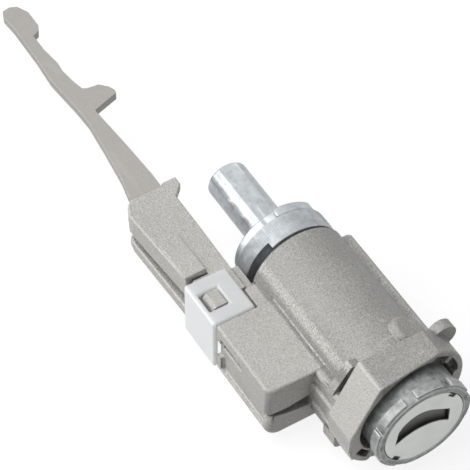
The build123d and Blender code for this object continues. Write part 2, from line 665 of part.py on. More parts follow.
def spring_comb():
    y0 = WAFER_FIRST - 1
    y1 = wafer_places()[-1] + 1
    strip = block(-COMB_HALF_X, COMB_HALF_X, y0, y1, COMB_Z - COMB_WALL, COMB_Z)
    for y in wafer_places():
        strip += block(-COMB_HALF_X, -COMB_HALF_X + COMB_FINGER, y - WAFER_WALL / 2, y + WAFER_WALL / 2,
                       COMB_Z - COMB_WALL, COMB_FINGER_TOP)
    return strip


def sidebar():
    bar = block(-SIDEBAR_HALF_X, SIDEBAR_HALF_X, SIDEBAR_FRONT, SIDEBAR_REAR, SIDEBAR_BASE, SIDEBAR_TOP)
    return bar & rod(PLUG_R - 0.05, SIDEBAR_FRONT - 1, SIDEBAR_REAR + 1)


def retaining_pin(y):
    return rod_z(PIN_R, PIN_OUTER, PIN_TIP, 0, y)


def ball_centre():
    return SPINDLE_R + BALL_R + BALL_GAP


def detent_ball():
    """The ball stands a hair off the hollow, so that nothing overlaps as the spindle turns."""
    bx, bz = polar(ball_centre(), DETENT_ANGLE)
    return Pos(bx, DETENT_Y, bz) * Sphere(BALL_R)


def detent_plug():
    return turned(rod_x(BALL_R + RUN - SEAT, DETENT_PLUG_FACE, BARREL_R + 0.1, DETENT_Y, 0), DETENT_ANGLE)


def detent_spring():
    foot = ball_centre() + BALL_R + SEAT
    long = DETENT_PLUG_FACE - SEAT - foot
    spring = coil(DETENT_SPRING_R, DETENT_SPRING_WIRE, 0, long, DETENT_SPRING_TURNS)
    return turned(Pos(foot, DETENT_Y, 0) * Rot(0, 0, -90) * spring, DETENT_ANGLE)


def shutter_spring():
    half = SHUTTER_SPRING_HALF - SEAT
    spring = coil(SHUTTER_SPRING_R, SHUTTER_SPRING_WIRE, -half, half, SHUTTER_SPRING_TURNS)
    return Pos(0, SHUTTER_PIN_Y, SHUTTER_PIN_Z) * Rot(0, 0, -90) * spring


def sidebar_spring():
    foot = SIDEBAR_SPRING_FOOT
    spring = coil(SIDEBAR_SPRING_R, SIDEBAR_SPRING_WIRE, foot, SIDEBAR_BASE, SIDEBAR_SPRING_TURNS)
    return Pos(0, middle_of_bar(), 0) * Rot(90, 0, 0) * spring


def lever_spring():
    end = TONGUE_LEFT + LEVER_SPRING_DEEP
    spring = coil(LEVER_SPRING_R, LEVER_SPRING_WIRE, CAVITY_LEFT, end, LEVER_SPRING_TURNS)
    return Pos(0, LEVER_SPRING_Y, 0) * Rot(0, 0, -90) * spring


def push_spring():
    end = SPINDLE_FRONT + PUSH_SPRING_DEPTH
    return coil(PUSH_SPRING_R, PUSH_SPRING_WIRE, PLUG_REAR, end, PUSH_SPRING_TURNS)


def return_spring():
    start = -RETURN_GROOVE_DEPTH
    return coil(RETURN_SPRING_R, RETURN_SPRING_WIRE, start, CAM_FRONT, RETURN_SPRING_TURNS)


def lever_carrier():
    rear_of_clip = CLIP_REAR + SLIP
    front = BOX_REAR + BOX_GAP
    right = CARRIER_RIGHT
    # the long body: a top web that spreads to the rear, a core, and a flange low on the left
    web = outline([*CARRIER_SIDE, (BODY_RIGHT, CARRIER_REAR), (BODY_RIGHT, rear_of_clip)])
    body = prism_z(web, WEB_BOTTOM, CARRIER_TOP)
    body += block(BODY_RIGHT - 1, right, rear_of_clip, CARRIER_REAR, STRIP_BOTTOM, CARRIER_TOP)
    body += block(CORE_LEFT, BODY_RIGHT, rear_of_clip, CORE_REAR, CARRIER_BOTTOM + 1, WEB_BOTTOM + 1)
    flange = outline([*FLANGE_SIDE, (BODY_RIGHT, CORE_REAR), (BODY_RIGHT, rear_of_clip)])
    body += prism_z(flange, CARRIER_BOTTOM, FLANGE_TOP)
    # pad on the top: level at the clip, running out to the rear, with a notch in front of it
    rise = outline([(PAD_FRONT, CARRIER_TOP - 1), (PAD_REAR, CARRIER_TOP - 1), (PAD_REAR, CARRIER_TOP),
                    (PAD_FRONT, CARRIER_TOP + PAD_UP)])
    over = CARRIER_TOP + 1
    fall = outline([(CLIP_REAR, CARRIER_TOP - PAD_FALL), (PAD_REAR, CARRIER_TOP), (PAD_REAR, over), (CLIP_REAR, over)])
    body -= prism_x(fall, PAD_RIGHT, right + 1)
    body += prism_x(rise, CARRIER_SIDE[0][0], PAD_RIGHT)
    body -= block(CARRIER_SIDE[0][0] - 1, PAD_RIGHT, CLIP_REAR, PAD_FRONT, NOTCH_BOTTOM, over)
    inner = right - 1
    slant_end = SIDE_TAB_Y0 + SIDE_TAB_SLANT
    side_tab = outline([(inner, SIDE_TAB_Y0), (right, SIDE_TAB_Y0), (SIDE_TAB_X, slant_end),
                        (SIDE_TAB_X, SIDE_TAB_Y1), (inner, SIDE_TAB_Y1)])
    body += prism_z(side_tab, CARRIER_TOP - PLATE_WALL, CARRIER_TOP)
    # strip beside the clip, neck under it with the catch in the clip's window, tongue in the box
    body += block(BODY_RIGHT - 1, right, STRIP_END, rear_of_clip + 1, STRIP_BOTTOM, NECK_TOP)
    body += block(CLIP_RIGHT + SLIP, right, STRIP_END, rear_of_clip + 1, STRIP_BOTTOM, STRIP_TOP)
    body += block(NECK_LEFT, NECK_RIGHT, front, rear_of_clip + 1, NECK_BOTTOM, NECK_TOP)
    catch_y0 = WINDOW_Y0 + CATCH_INSET
    catch_y1 = WINDOW_Y1 - CATCH_INSET
    catch = block(WINDOW_X0 + CATCH_GAP, WINDOW_X1 - CATCH_INSET, catch_y0, catch_y1, NECK_TOP - 1, CLIP_TOP)
    catch_edge = catch.edges().filter_by(Axis.Y).sort_by(lambda e: e.center().Z - e.center().X)[-1]
    body += chamfer(catch_edge, CATCH_BEVEL)
    body += block(TONGUE_LEFT, TONGUE_RIGHT, TONGUE_END, front + 1, TONGUE_BOTTOM, TONGUE_TOP)
    body -= rod_z(PIVOT_R + RUN, TONGUE_BOTTOM - 1, TONGUE_TOP + 1, PIVOT_X, PIVOT_Y)
    spring_end = TONGUE_LEFT + LEVER_SPRING_DEEP + LEVER_SPRING_ROOM
    body -= rod_x(LEVER_SPRING_BORE, TONGUE_LEFT - 1, spring_end, LEVER_SPRING_Y, 0)
    # slot that holds the plate's root, open to the rear
    slot_left = CARRIER_SIDE[0][0] + ROOT_SIDE
    body -= block(slot_left, right - ROOT_SIDE, PLATE_ROOT_Y, CARRIER_REAR + 1, ROOT_LOW - SEAT,
                  ROOT_LOW + ROOT_WALL + SEAT)
    return body


def lever_plate():
    """Stamped plate: its outline is cut from strip, and its root is pressed thinner."""
    left = CARRIER_SIDE[0][0] + ROOT_SIDE + SEAT
    right = CARRIER_RIGHT - ROOT_SIDE - SEAT
    seam = CARRIER_REAR + SEAT
    heel = [(PLATE_LEFT[-1][0], seam), (PLATE_RIGHT[0][0], seam)]
    tab = [(TAB_ROOT_X, TAB_FLAT), (TAB_TIP_X, TAB_FLAT + 2.0), (TAB_TIP_X + 0.2, TAB_FLAT + 3.0),
           (TAB_TIP_X - 0.4, TAB_FLAT + 4.4), (TAB_TIP_X - 2.0, TAB_REAR), (TAB_TIP_X - 4.6, TAB_REAR + 0.3)]
    points = heel + PLATE_RIGHT + tab + PLATE_UPPER + HOOK_NOSE + HOOK_BACK + PLATE_LEFT
    plate = prism_z(outline(points), CARRIER_TOP - PLATE_WALL, CARRIER_TOP)
    root = block(left, right, PLATE_ROOT_Y + SEAT, seam + 1, ROOT_LOW, ROOT_LOW + ROOT_WALL)
    return plate + root


def lever_clip():
    shell = block(CLIP_LEFT, CLIP_RIGHT, CLIP_FRONT, CLIP_REAR, CLIP_BOTTOM, CLIP_TOP)
    corner = shell.edges().filter_by(Axis.Y).sort_by(lambda e: e.center().Z - e.center().X)[-1]
    shell = fillet(corner, CLIP_EDGE)
    inner = block(CLIP_LEFT + CLIP_WALL, CLIP_RIGHT + 1, CLIP_FRONT - 1, CLIP_REAR + 1,
                  CLIP_BOTTOM - 1, CLIP_TOP - CLIP_WALL + 0.02)
    shell -= inner
    shell -= block(WINDOW_X0, WINDOW_X1, WINDOW_Y0, WINDOW_Y1, CLIP_TOP - 3, CLIP_TOP + 1)
    return shell


def lever_pivot_pin():
    return rod_z(PIVOT_R, BOX_BOTTOM + 0.2, CAVITY_TOP + 0.7, PIVOT_X, PIVOT_Y)


def key_plunger():
    return rod_x(PLUNGER_R, TONGUE_RIGHT + 0.05, -PLUG_R - 0.15, PLUNGER_Y, 0)


os.makedirs("parts", exist_ok=True)
pieces = {
    "housing": housing(),
    "spindle": spindle(),
    "cam_ring": cam_ring(),
    "plug": plug(),
    "head_ring": head_ring(),
    "face_cap": face_cap(),
    "shutter": shutter(),
    "shutter_pin": shutter_pin(),
    "spring_comb": spring_comb(),
    "sidebar": sidebar(),
    "plug_retaining_pin": retaining_pin(PLUG_PIN_Y),
    "spindle_retaining_pin": retaining_pin(SPINDLE_PIN_Y),
    "detent_ball": detent_ball(),
    "detent_plug": detent_plug(),
    "detent_spring": detent_spring(),
    "shutter_spring": shutter_spring(),
    "sidebar_spring": sidebar_spring(),
    "lever_spring": lever_spring(),
    "push_spring": push_spring(),
    "return_spring": return_spring(),
    "lever_carrier": lever_carrier(),
    "lever_plate": lever_plate(),
    "lever_clip": lever_clip(),
    "lever_pivot_pin": lever_pivot_pin(),
    "key_plunger": key_plunger(),
}
for i in range(WAFERS):
    pieces[f"wafer_{i + 1}"] = wafer(i)
for name, piece in pieces.items():
    export_step(piece, f"parts/{name}.step")
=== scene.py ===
import json
import math

import bmesh
import bpy
from mathutils import Matrix, Vector
from mathutils.bvhtree import BVHTree
from mathutils.kdtree import KDTree


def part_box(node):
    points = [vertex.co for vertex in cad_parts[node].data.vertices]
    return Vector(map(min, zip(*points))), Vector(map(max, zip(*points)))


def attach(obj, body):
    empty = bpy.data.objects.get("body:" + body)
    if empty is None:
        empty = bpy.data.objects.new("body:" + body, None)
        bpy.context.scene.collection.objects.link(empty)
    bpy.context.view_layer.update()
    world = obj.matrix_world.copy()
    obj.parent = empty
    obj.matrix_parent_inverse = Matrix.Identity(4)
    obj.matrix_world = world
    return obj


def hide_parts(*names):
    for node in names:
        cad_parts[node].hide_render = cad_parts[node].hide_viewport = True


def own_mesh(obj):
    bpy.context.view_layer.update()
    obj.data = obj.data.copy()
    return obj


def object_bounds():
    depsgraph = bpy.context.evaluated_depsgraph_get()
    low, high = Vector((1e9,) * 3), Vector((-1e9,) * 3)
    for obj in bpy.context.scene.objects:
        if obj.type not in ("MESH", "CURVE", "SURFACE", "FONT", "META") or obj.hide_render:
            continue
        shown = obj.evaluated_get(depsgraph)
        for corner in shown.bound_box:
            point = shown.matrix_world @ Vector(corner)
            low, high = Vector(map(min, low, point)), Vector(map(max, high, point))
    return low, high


bl_info = {
    "name": "Ignition lock cylinder",
    "version": (1, 0, 0),
    "blender": (4, 5, 0),
    "location": "3D View > Sidebar > Lock",
    "description": "Finishes an ignition lock cylinder: castings, plated spindle, key face, lever and clip",
    "category": "Object",
}

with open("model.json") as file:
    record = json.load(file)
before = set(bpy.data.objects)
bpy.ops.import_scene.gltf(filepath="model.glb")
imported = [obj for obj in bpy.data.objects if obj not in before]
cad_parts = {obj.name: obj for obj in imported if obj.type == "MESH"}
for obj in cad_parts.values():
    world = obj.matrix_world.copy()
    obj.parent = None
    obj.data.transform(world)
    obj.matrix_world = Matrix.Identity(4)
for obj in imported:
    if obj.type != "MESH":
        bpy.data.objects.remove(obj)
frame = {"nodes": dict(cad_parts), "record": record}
CAD_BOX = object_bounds()
MM = 0.001

# The camera: where it stands, the directions of its right side and its top, its lens and sensor in mm,
# and the nearest and furthest it sees in metres
CAMERA_AT = (-0.167828, -0.251987, 0.377879)
CAMERA_RIGHT = (0.855318, -0.518102, 0.001220)
CAMERA_UP = (0.399405, 0.660861, 0.635403)
LENS = 185.2
SENSOR = 36.0
SEEN_FROM = 0.01
SEEN_TO = 20.0

# The stage: half the floor's side, how far it lies under the lock, and each lamp's name, place,
# width in metres and power in watts
FLOOR_HALF = 3.0
FLOOR_GAP = 0.1 * MM
LAMPS = (("Soft lamp", (-0.42, 0.25, 0.92), 1.0, 6.9), ("Side lamp", (-0.82, 0.54, 0.30), 0.30, 2.7))
FLOOR_GLOW = 0.86  # how white the floor looks to the camera
WORLD_LIGHT = 0.14  # how much light the white backdrop sheds on the lock

# CAD corners closer than this are one, and faces that differ by less than this angle are one
JOIN_WITHIN = 0.02 * MM
FLAT_WITHIN = math.radians(0.4)
# Edges sharper than this are rounded, and edges blunter than this are shaded smooth
SHARP_ABOVE = math.radians(35)
SMOOTH_BELOW = math.radians(32)
ROUNDING_SEGMENTS = 2
ROUNDING_TRIES = 8
# How much of a neighbouring edge the rounding of a sharp edge may use up
EDGE_SHARE = 0.42
# Edges that meet at a wider angle than this run on into each other
CHAIN_ANGLE = math.radians(100)
# A rounding narrower than this isn't made
LEAST_ROUNDING = 0.06 * MM
# A face counts as folded when its triangles cover this many square metres too much
LEAST_FOLD = 0.05 * MM * MM
# Only faces between these sizes, with at most so many corners, can count as stray
LEAST_FACE = 0.001 * MM * MM
LARGEST_STRAY = MM * MM
STRAY_CORNERS = 6
# How far from the sharp shape a stray face lies, as a share of the rounding's width
STRAY_SHARE = 0.6
# Edges within this many widths of a spoiled corner stay sharp
LEFT_SHARP_REACH = 1.5

# Places on the castings, from the lock axis and the barrel's rear rim
HOOD_REAR = -33.3 * MM
# The facet of the hood, painted lighter as a painted highlight: on each axis its two sides and how far it
# fades out
HIGHLIT_FACET = (
    ("X", -14 * MM, -7.5 * MM, 0.5 * MM),
    ("Y", -50 * MM, HOOD_REAR, 0.3 * MM),
    ("Z", 1.0 * MM, 20 * MM, 3.0 * MM),
)
# Along the barrel: the two sides in X of the groove painted darker as painted shade, and of the band beside
# it painted lighter as painted highlight and wear
SHADED_GROOVE = (-10.7 * MM, -9.5 * MM)
HIGHLIT_WORN_BAND = (-9.0 * MM, -8.3 * MM)
# A band of painted darkness on the plating, a painted dark reflection on the shaft and painted shade on the
# cam ring's left: its two sides in X, how far it fades out, and how light the metal is there
SHAFT_DARK_REFLECTION = (-3.9 * MM, -3.5 * MM, 0.35 * MM, 0.3)
CAM_RING_SHADE = (-14 * MM, -8.5 * MM, 3.0 * MM, 0.55)
# The head ring's teeth are rubbed from this far inside their tips, fading in over this length
TOOTH_TIP = 0.3 * MM
TOOTH_FADE = 0.25 * MM
# The clip's outer wall, from a place left of the whole lock, and the painted glow of the rest of the clip
# and of that wall, which shine by themselves though the clip is no lamp
CLIP_SKIN = 0.5 * MM
LEFT_OF_ALL = -30 * MM
CLIP_PAINTED_GLOW = ((0.28, 0.29, 0.30, 1), (0.94, 0.97, 1.0, 1))

# The flutes start this far behind the cam ring's front, and end this far before its rear
FLUTE_FROM = 1.9 * MM
FLUTE_TO = 0.35 * MM
FLUTE_SUNK = 0.25  # the share of a flute's height that lies inside the ring
FLUTE_VARIES = (0.6, 1.25)  # the lowest and highest flute, as shares of that height
FLUTE_SEED = 4

# The springs round the lock axis: turns, and the wire's thickness in mm
COILS = {"push_spring": (4.0, 0.7), "return_spring": (2.0, 1.0)}


def coloured(name, description, default):
    """A colour that the user can change in the panel."""
    return bpy.props.FloatVectorProperty(
        name=name, description=description, subtype="COLOR", size=4, min=0, max=1, default=(*default, 1)
    )


def length(name, description, default_mm):
    """A length that the user can change in the panel."""
    return bpy.props.FloatProperty(
        name=name, description=description, unit="LENGTH", min=0, default=default_mm * MM, precision=5
    )


class LockColours(bpy.types.PropertyGroup):
    """The colours of the pieces and the floor"""

    cast: coloured("Casting", "Grey of the barrel and hood", (0.43, 0.425, 0.40))
    # the paler casting grey, also used for the painted highlights on the hood's facet and along the barrel
    rubbed: coloured("Paler casting", "Lighter grey of the side box and the lever", (0.64, 0.625, 0.59))
    plated: coloured("Plated steel", "Silver of the spindle and its cam ring", (0.56, 0.59, 0.61))
    ring: coloured("Head ring", "Grey of the toothed ring", (0.33, 0.34, 0.34))
    cap: coloured("Cap", "Pale satin of the cap over the key slot", (0.75, 0.77, 0.75))
    plate: coloured("Lever plate", "Dull steel of the lever plate", (0.47, 0.455, 0.43))
    clip: coloured("Clip", "White of the nylon clip", (0.88, 0.89, 0.90))
    brass: coloured("Tumblers", "Brass of the tumblers", (0.60, 0.46, 0.20))
    wire: coloured("Wire", "Steel of springs and pins", (0.42, 0.42, 0.42))
    worn: coloured("Worn metal", "Bright metal where the head ring's teeth are rubbed", (0.54, 0.55, 0.54))
    dark: coloured("Shutter", "Dark grey of the dust shutter", (0.27, 0.27, 0.255))
    floor: coloured("Floor", "Pale floor and backdrop", (0.25, 0.25, 0.25))


class LockSizes(bpy.types.PropertyGroup):
    """The sizes of what the scene adds to the CAD pieces"""

    cast_edge: length("Casting edge", "Rounding of the castings' edges", 0.32)
    fine_edge: length("Fine edge", "Rounding of turned and stamped edges", 0.10)
    grain: length("Grain", "Size of the grain on the castings", 0.30)
    push_travel: length("Push", "How far the plug can be pushed in, which shortens its spring", 2.5)
    paler_from: length("Paler side", "How far left of the lock axis the castings turn lighter", 9.8)
    flute_count: bpy.props.IntProperty(
        name="Flutes", description="Fine flutes round the cam ring", min=12, max=400, default=130
    )
    flute_wide: length("Flute width", "Width of one flute's ridge", 0.2)
    flute_high: length("Flute height", "How far a ridge stands out of the ring", 0.06)


def colours():
    return bpy.context.scene.lock_colours


def sizes():
    return bpy.context.scene.lock_sizes


# Nodes


def feed(tree, socket, given):
    """Give a socket a value, or link another node's output to it."""
    if isinstance(given, bpy.types.NodeSocket):
        tree.links.new(given, socket)
    else:
        socket.default_value = given


def add(tree, kind, values=(), **settings):
    """A node with its settings, and with values or links for the inputs named."""
    node = tree.nodes.new(kind)
    for key, value in settings.items():
        setattr(node, key, value)
    for key, given in dict(values).items():
        feed(tree, node.inputs[key], given)
    return node


def calc(tree, operation, *given):
    """The result of a calculation on values or outputs."""
    return add(tree, "ShaderNodeMath", dict(enumerate(given)), operation=operation).outputs[0]


def remap(tree, value, **limits):
    """The value, moved from one range to another; a range that isn't given runs from 0 to 1."""
    named = {key.replace("_", " "): limit for key, limit in limits.items()}
    return add(tree, "ShaderNodeMapRange", {"Value": value, **named}).outputs["Result"]


def spread(tree, mask, low, high):
    """A value that runs from low to high with the mask."""
    return remap(tree, mask, To_Min=low, To_Max=high)


def noise(tree, where, scale, **values):
    """Noise in space, from 0 to 1."""
    return add(tree, "ShaderNodeTexNoise", {"Vector": where, "Scale": scale, **values}).outputs["Fac"]


def far_out(tree, where, squeeze=(1, 0, 1)):
    """How far from the lock axis a place is; a squeeze in Y above 0 makes the rings slant."""
    flat = add(tree, "ShaderNodeVectorMath", {0: where, 1: squeeze}, operation="MULTIPLY").outputs[0]
    return add(tree, "ShaderNodeVectorMath", {0: flat}, operation="LENGTH").outputs["Value"]


def blend(tree, mask, first, second, kind="MIX"):
    """The first colour turned into the second by the mask."""
    values = {"Factor": mask, "A": first, "B": second}
    return add(tree, "ShaderNodeMix", values, data_type="RGBA", blend_type=kind).outputs["Result"]


def scaled(colour, share):
    """The colour, darker or lighter by that share."""
    return (*[min(1.0, c * share) for c in colour[:3]], 1)


# Shader groups

FLOAT = "NodeSocketFloat"
VECTOR = "NodeSocketVector"
POSITION = ("Position", VECTOR, (0, 0, 0))
AXES = {"X": (1, 0, 0), "Y": (0, 1, 0), "Z": (0, 0, 1)}


def built_once(name):
    """Mark the function that builds the shader group of that name, so that materials share one group."""
    def share(build):
        return lambda: bpy.data.node_groups.get(name) or build(name)
    return share


def group(name, inputs, outputs):
    """A new shader node group, with the name, kind and value of each input and the names of its outputs."""
    tree = bpy.data.node_groups.new(name, "ShaderNodeTree")
    for label, kind, value in inputs:
        tree.interface.new_socket(label, in_out="INPUT", socket_type=kind).default_value = value
    for label in outputs:
        tree.interface.new_socket(label, in_out="OUTPUT", socket_type=FLOAT)
    return tree, tree.nodes.new("NodeGroupInput").outputs, tree.nodes.new("NodeGroupOutput").inputs


@built_once("Cast grain")
def grain_group(name):
    """Fine cast grain: a height, and a light-and-dark speckle."""
    inputs = [POSITION, ("Per metre", FLOAT, 2500.0)]
    tree, given, result = group(name, inputs, ["Height", "Speckle"])
    where, scale = given["Position"], given["Per metre"]
    fine = noise(tree, where, scale, Detail=3.0, Roughness=0.65)
    wider = calc(tree, "MULTIPLY", scale, 0.55)
    pits = add(tree, "ShaderNodeTexVoronoi", {"Vector": where, "Scale": wider, "Randomness": 1.0})
    height = calc(tree, "MULTIPLY_ADD", pits.outputs["Distance"], 0.35, fine)
    feed(tree, result["Height"], height)
    feed(tree, result["Speckle"], remap(tree, fine, From_Min=0.34, From_Max=0.66))
    return tree


@built_once("Slow tone")
def blotch_group(name):
    """Slow changes of tone over a surface, from 0 to 1."""
    inputs = [POSITION, ("Per metre", FLOAT, 120.0)]
    tree, given, result = group(name, inputs, ["Tone"])
    slow = noise(tree, given["Position"], given["Per metre"], Detail=4.0, Roughness=0.55, Distortion=0.4)
    feed(tree, result["Tone"], remap(tree, slow, From_Min=0.3, From_Max=0.7))
    return tree


@built_once("Drawn streaks")
def streak_group(name):
    """Streaks drawn out along one direction, as a tool or rubbing leaves them."""
    inputs = [POSITION, ("Stretch", VECTOR, (1, 1, 1)), ("Per metre", FLOAT, 3000.0)]
    tree, given, result = group(name, inputs, ["Height", "Scratches"])
    scale = given["Per metre"]
    drawn = add(tree, "ShaderNodeVectorMath", {0: given["Position"], 1: given["Stretch"]},
                operation="MULTIPLY").outputs[0]
    few = noise(tree, drawn, calc(tree, "MULTIPLY", scale, 0.3), Detail=1.0, Roughness=0.4)
    feed(tree, result["Height"], noise(tree, drawn, scale, Detail=2.0, Roughness=0.6))
    feed(tree, result["Scratches"], remap(tree, few, From_Min=0.62, From_Max=0.72))
    return tree


@built_once("Turned rings")
def turned_group(name):
    """Fine rings about the lock axis, as a lathe leaves them on a face."""
    inputs = [POSITION, ("Per metre", FLOAT, 4000.0)]
    tree, given, result = group(name, inputs, ["Height"])
    rings = add(tree, "ShaderNodeTexNoise", {
        "W": far_out(tree, given["Position"], (1, 0.35, 1)),
        "Scale": given["Per metre"], "Detail": 2.0, "Roughness": 0.7,
    }, noise_dimensions="1D")
    feed(tree, result["Height"], rings.outputs["Fac"])
    return tree


@built_once("Band")
def band_group(name):
    """1 between two places along an axis, fading to 0 outside them."""
    sides = [("From", FLOAT, 0.0), ("To", FLOAT, 1.0), ("Fade", FLOAT, MM)]
    inputs = [POSITION, ("Axis", VECTOR, AXES["X"]), *sides]
    tree, given, result = group(name, inputs, ["Mask"])
    low, high, fade = given["From"], given["To"], given["Fade"]
    along = add(tree, "ShaderNodeVectorMath", {0: given["Position"], 1: given["Axis"]},
                operation="DOT_PRODUCT").outputs["Value"]
    rise = remap(tree, along, From_Min=calc(tree, "SUBTRACT", low, fade), From_Max=low)
    gone = calc(tree, "ADD", high, fade)
    fall = remap(tree, along, From_Min=high, From_Max=gone, To_Min=1.0, To_Max=0.0)
    feed(tree, result["Mask"], calc(tree, "MULTIPLY", rise, fall))
    return tree


@built_once("Worn edges")
def wear_group(name):
    """Wear on the rounded edges, most of it on the grain's light specks."""
    inputs = [("Speckle", FLOAT, 0.5), ("Share", FLOAT, 1.0)]
    tree, given, result = group(name, inputs, ["Mask"])
    marked = add(tree, "ShaderNodeAttribute", attribute_name="worn").outputs["Fac"]
    specks = calc(tree, "MULTIPLY", spread(tree, given["Speckle"], 0.35, 1.0), marked)
    feed(tree, result["Mask"], calc(tree, "MULTIPLY", specks, given["Share"]))
    return tree


@built_once("Gathered dirt")
def crevice_shade_group(name):
    """Painted shade: 1 in the open, and down to Least in the piece's own grooves and inner corners."""
    inputs = [("Reach", FLOAT, MM), ("Least", FLOAT, 0.5)]
    tree, given, result = group(name, inputs, ["Clean"])
    reach = {"Distance": given["Reach"]}
    open_to = add(tree, "ShaderNodeAmbientOcclusion", reach, samples=8, only_local=True).outputs["AO"]
    unshaded = remap(tree, open_to, From_Min=0.35, From_Max=0.85, To_Min=given["Least"])
    feed(tree, result["Clean"], unshaded)
    return tree


def placed(tree, shader_group, **values):
    """The outputs of the group, placed in a material with its own values."""
    node = tree.nodes.new("ShaderNodeGroup")
    node.node_tree = shader_group
    for key, given in values.items():
        feed(tree, node.inputs[key.replace("_", " ")], given)
    return node.outputs


def between(tree, where, axis, low, high, fade):
    """1 where the coordinate on that axis lies between low and high, fading out over the fade length."""
    return placed(tree, band_group(), Position=where, Axis=AXES[axis], From=low, To=high, Fade=fade)["Mask"]


def edged(tree, base, worn, speckle, share):
    """The base colour, lighter in specks on the rounded edges."""
    mask = placed(tree, wear_group(), Speckle=speckle, Share=share)["Mask"]
    return blend(tree, mask, base, worn)


def crevice_shaded(tree, base, reach_mm, least):
    """The base colour with painted shade, darker in the piece's own grooves and inner corners."""
    unshaded = placed(tree, crevice_shade_group(), Reach=reach_mm * MM, Least=least)["Clean"]
    return blend(tree, 1.0, base, unshaded, "MULTIPLY")


# Materials


def new_material(name):
    """An empty material with its shader and the object's coordinates."""
    material = bpy.data.materials.new(name)
    material.use_nodes = True
    tree = material.node_tree
    where = tree.nodes.new("ShaderNodeTexCoord").outputs["Object"]
    return material, tree, tree.nodes["Principled BSDF"], where


def dress(tree, shader, **values):
    """Give the shader's inputs their values or links."""
    for key, given in values.items():
        feed(tree, shader.inputs[key.replace("_", " ")], given)


def bumped(tree, height, strength, distance_mm):
    """The normal of a surface with that height over it."""
    values = {"Height": height, "Strength": strength, "Distance": distance_mm * MM}
    return add(tree, "ShaderNodeBump", values).outputs["Normal"]


def cast_material(name, colour, rubbed):
    """Grainy die-cast zinc, lighter to the left; painted highlights on the hood's facet and along the
    barrel, where there is also wear; painted shade in the barrel's groove and in its own corners.
    """
    material, tree, shader, where = new_material(name)
    grain = placed(tree, grain_group(), Position=where, Per_metre=1 / sizes().grain)
    speckle = grain["Speckle"]
    tone = placed(tree, blotch_group(), Position=where, Per_metre=90.0)["Tone"]
    plain = blend(tree, tone, scaled(colour, 0.93), scaled(colour, 1.06))
    light = blend(tree, tone, scaled(rubbed, 0.94), scaled(rubbed, 1.05))
    # the castings turn paler left of the barrel, over the side box and the lever
    far_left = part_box("housing")[0][0] - MM
    base = blend(tree, between(tree, where, "X", far_left, -sizes().paler_from - MM, MM), plain, light)
    # painted highlight: the facet of the hood, which mirrors the side lamp, is painted as light as the box
    across, along, upwards = [between(tree, where, *side) for side in HIGHLIT_FACET]
    facet_highlight = calc(tree, "MULTIPLY", calc(tree, "MULTIPLY", across, along), upwards)
    base = blend(tree, facet_highlight, base, scaled(rubbed, 1.12))
    # along the barrel, painted shade darkens the groove beside the box, and the band beside it is painted
    # lighter with glinting specks: painted highlight and wear
    beside = between(tree, where, "Y", HOOD_REAR + MM, MM, 0.5 * MM)
    groove_shade = calc(tree, "MULTIPLY", between(tree, where, "X", *SHADED_GROOVE, 0.5 * MM), beside)
    base = blend(tree, groove_shade, base, scaled(colour, 0.8))
    band = calc(tree, "MULTIPLY", between(tree, where, "X", *HIGHLIT_WORN_BAND, 0.5 * MM), beside)
    glint_and_wear = calc(tree, "MULTIPLY", band, spread(tree, speckle, 0.2, 1.0))
    base = blend(tree, glint_and_wear, base, scaled(rubbed, 1.15))
    # fine scratches both ways, gathered in patches
    patches = remap(tree, tone, From_Min=0.55, From_Max=0.9, To_Max=0.45)
    for stretch, per_metre in (((1.0, 0.04, 0.5), 7500.0), ((0.06, 0.5, 1.0), 6000.0)):
        streaks = placed(tree, streak_group(), Position=where, Stretch=stretch, Per_metre=per_metre)
        mark = calc(tree, "MULTIPLY", streaks["Scratches"], patches)
        base = blend(tree, mark, base, scaled(rubbed, 1.3))
    base = edged(tree, base, scaled(rubbed, 1.22), speckle, 0.7)
    # painted shade, darker in the casting's own grooves and inner corners
    base = crevice_shaded(tree, base, 3.0, 0.5)
    dress(
        tree, shader,
        Base_Color=blend(tree, 0.42, base, speckle, "OVERLAY"),
        Roughness=spread(tree, speckle, 0.30, 0.62),
        Metallic=0.04,
        Specular_IOR_Level=1.0,
        Normal=bumped(tree, grain["Height"], 0.9, 0.18),
    )
    return material


def plated_material(name, colour, along, rough, bump, painted_dark=None):
    """Clouded silver, streaked along the lock axis, with a band of painted darkness or none."""
    material, tree, shader, where = new_material(name)
    streaks = placed(tree, streak_group(), Position=where, Stretch=(1.0, along, 1.0), Per_metre=2600.0)
    tone = placed(tree, blotch_group(), Position=where, Per_metre=520.0)["Tone"]
    clouded = blend(tree, tone, scaled(colour, 0.6), scaled(colour, 1.2))
    lined = blend(tree, streaks["Scratches"], scaled(colour, 0.9), scaled(colour, 1.4))
    base = blend(tree, streaks["Height"], clouded, lined)
    if painted_dark:
        low, high, fade, share = painted_dark
        # the band of painted darkness that the caller gives
        band = between(tree, where, "X", low, high, fade)
        mask = calc(tree, "MULTIPLY", band, spread(tree, tone, 1.0, 0.35))
        base = blend(tree, mask, base, scaled(colour, share))
    dress(
        tree, shader,
        # painted shade, darker in the piece's own grooves and inner corners
        Base_Color=crevice_shaded(tree, base, 1.5, 0.45),
        Roughness=spread(tree, streaks["Height"], *rough),
        Metallic=0.8,
        Normal=bumped(tree, streaks["Height"], bump, 0.03),
    )
    return material


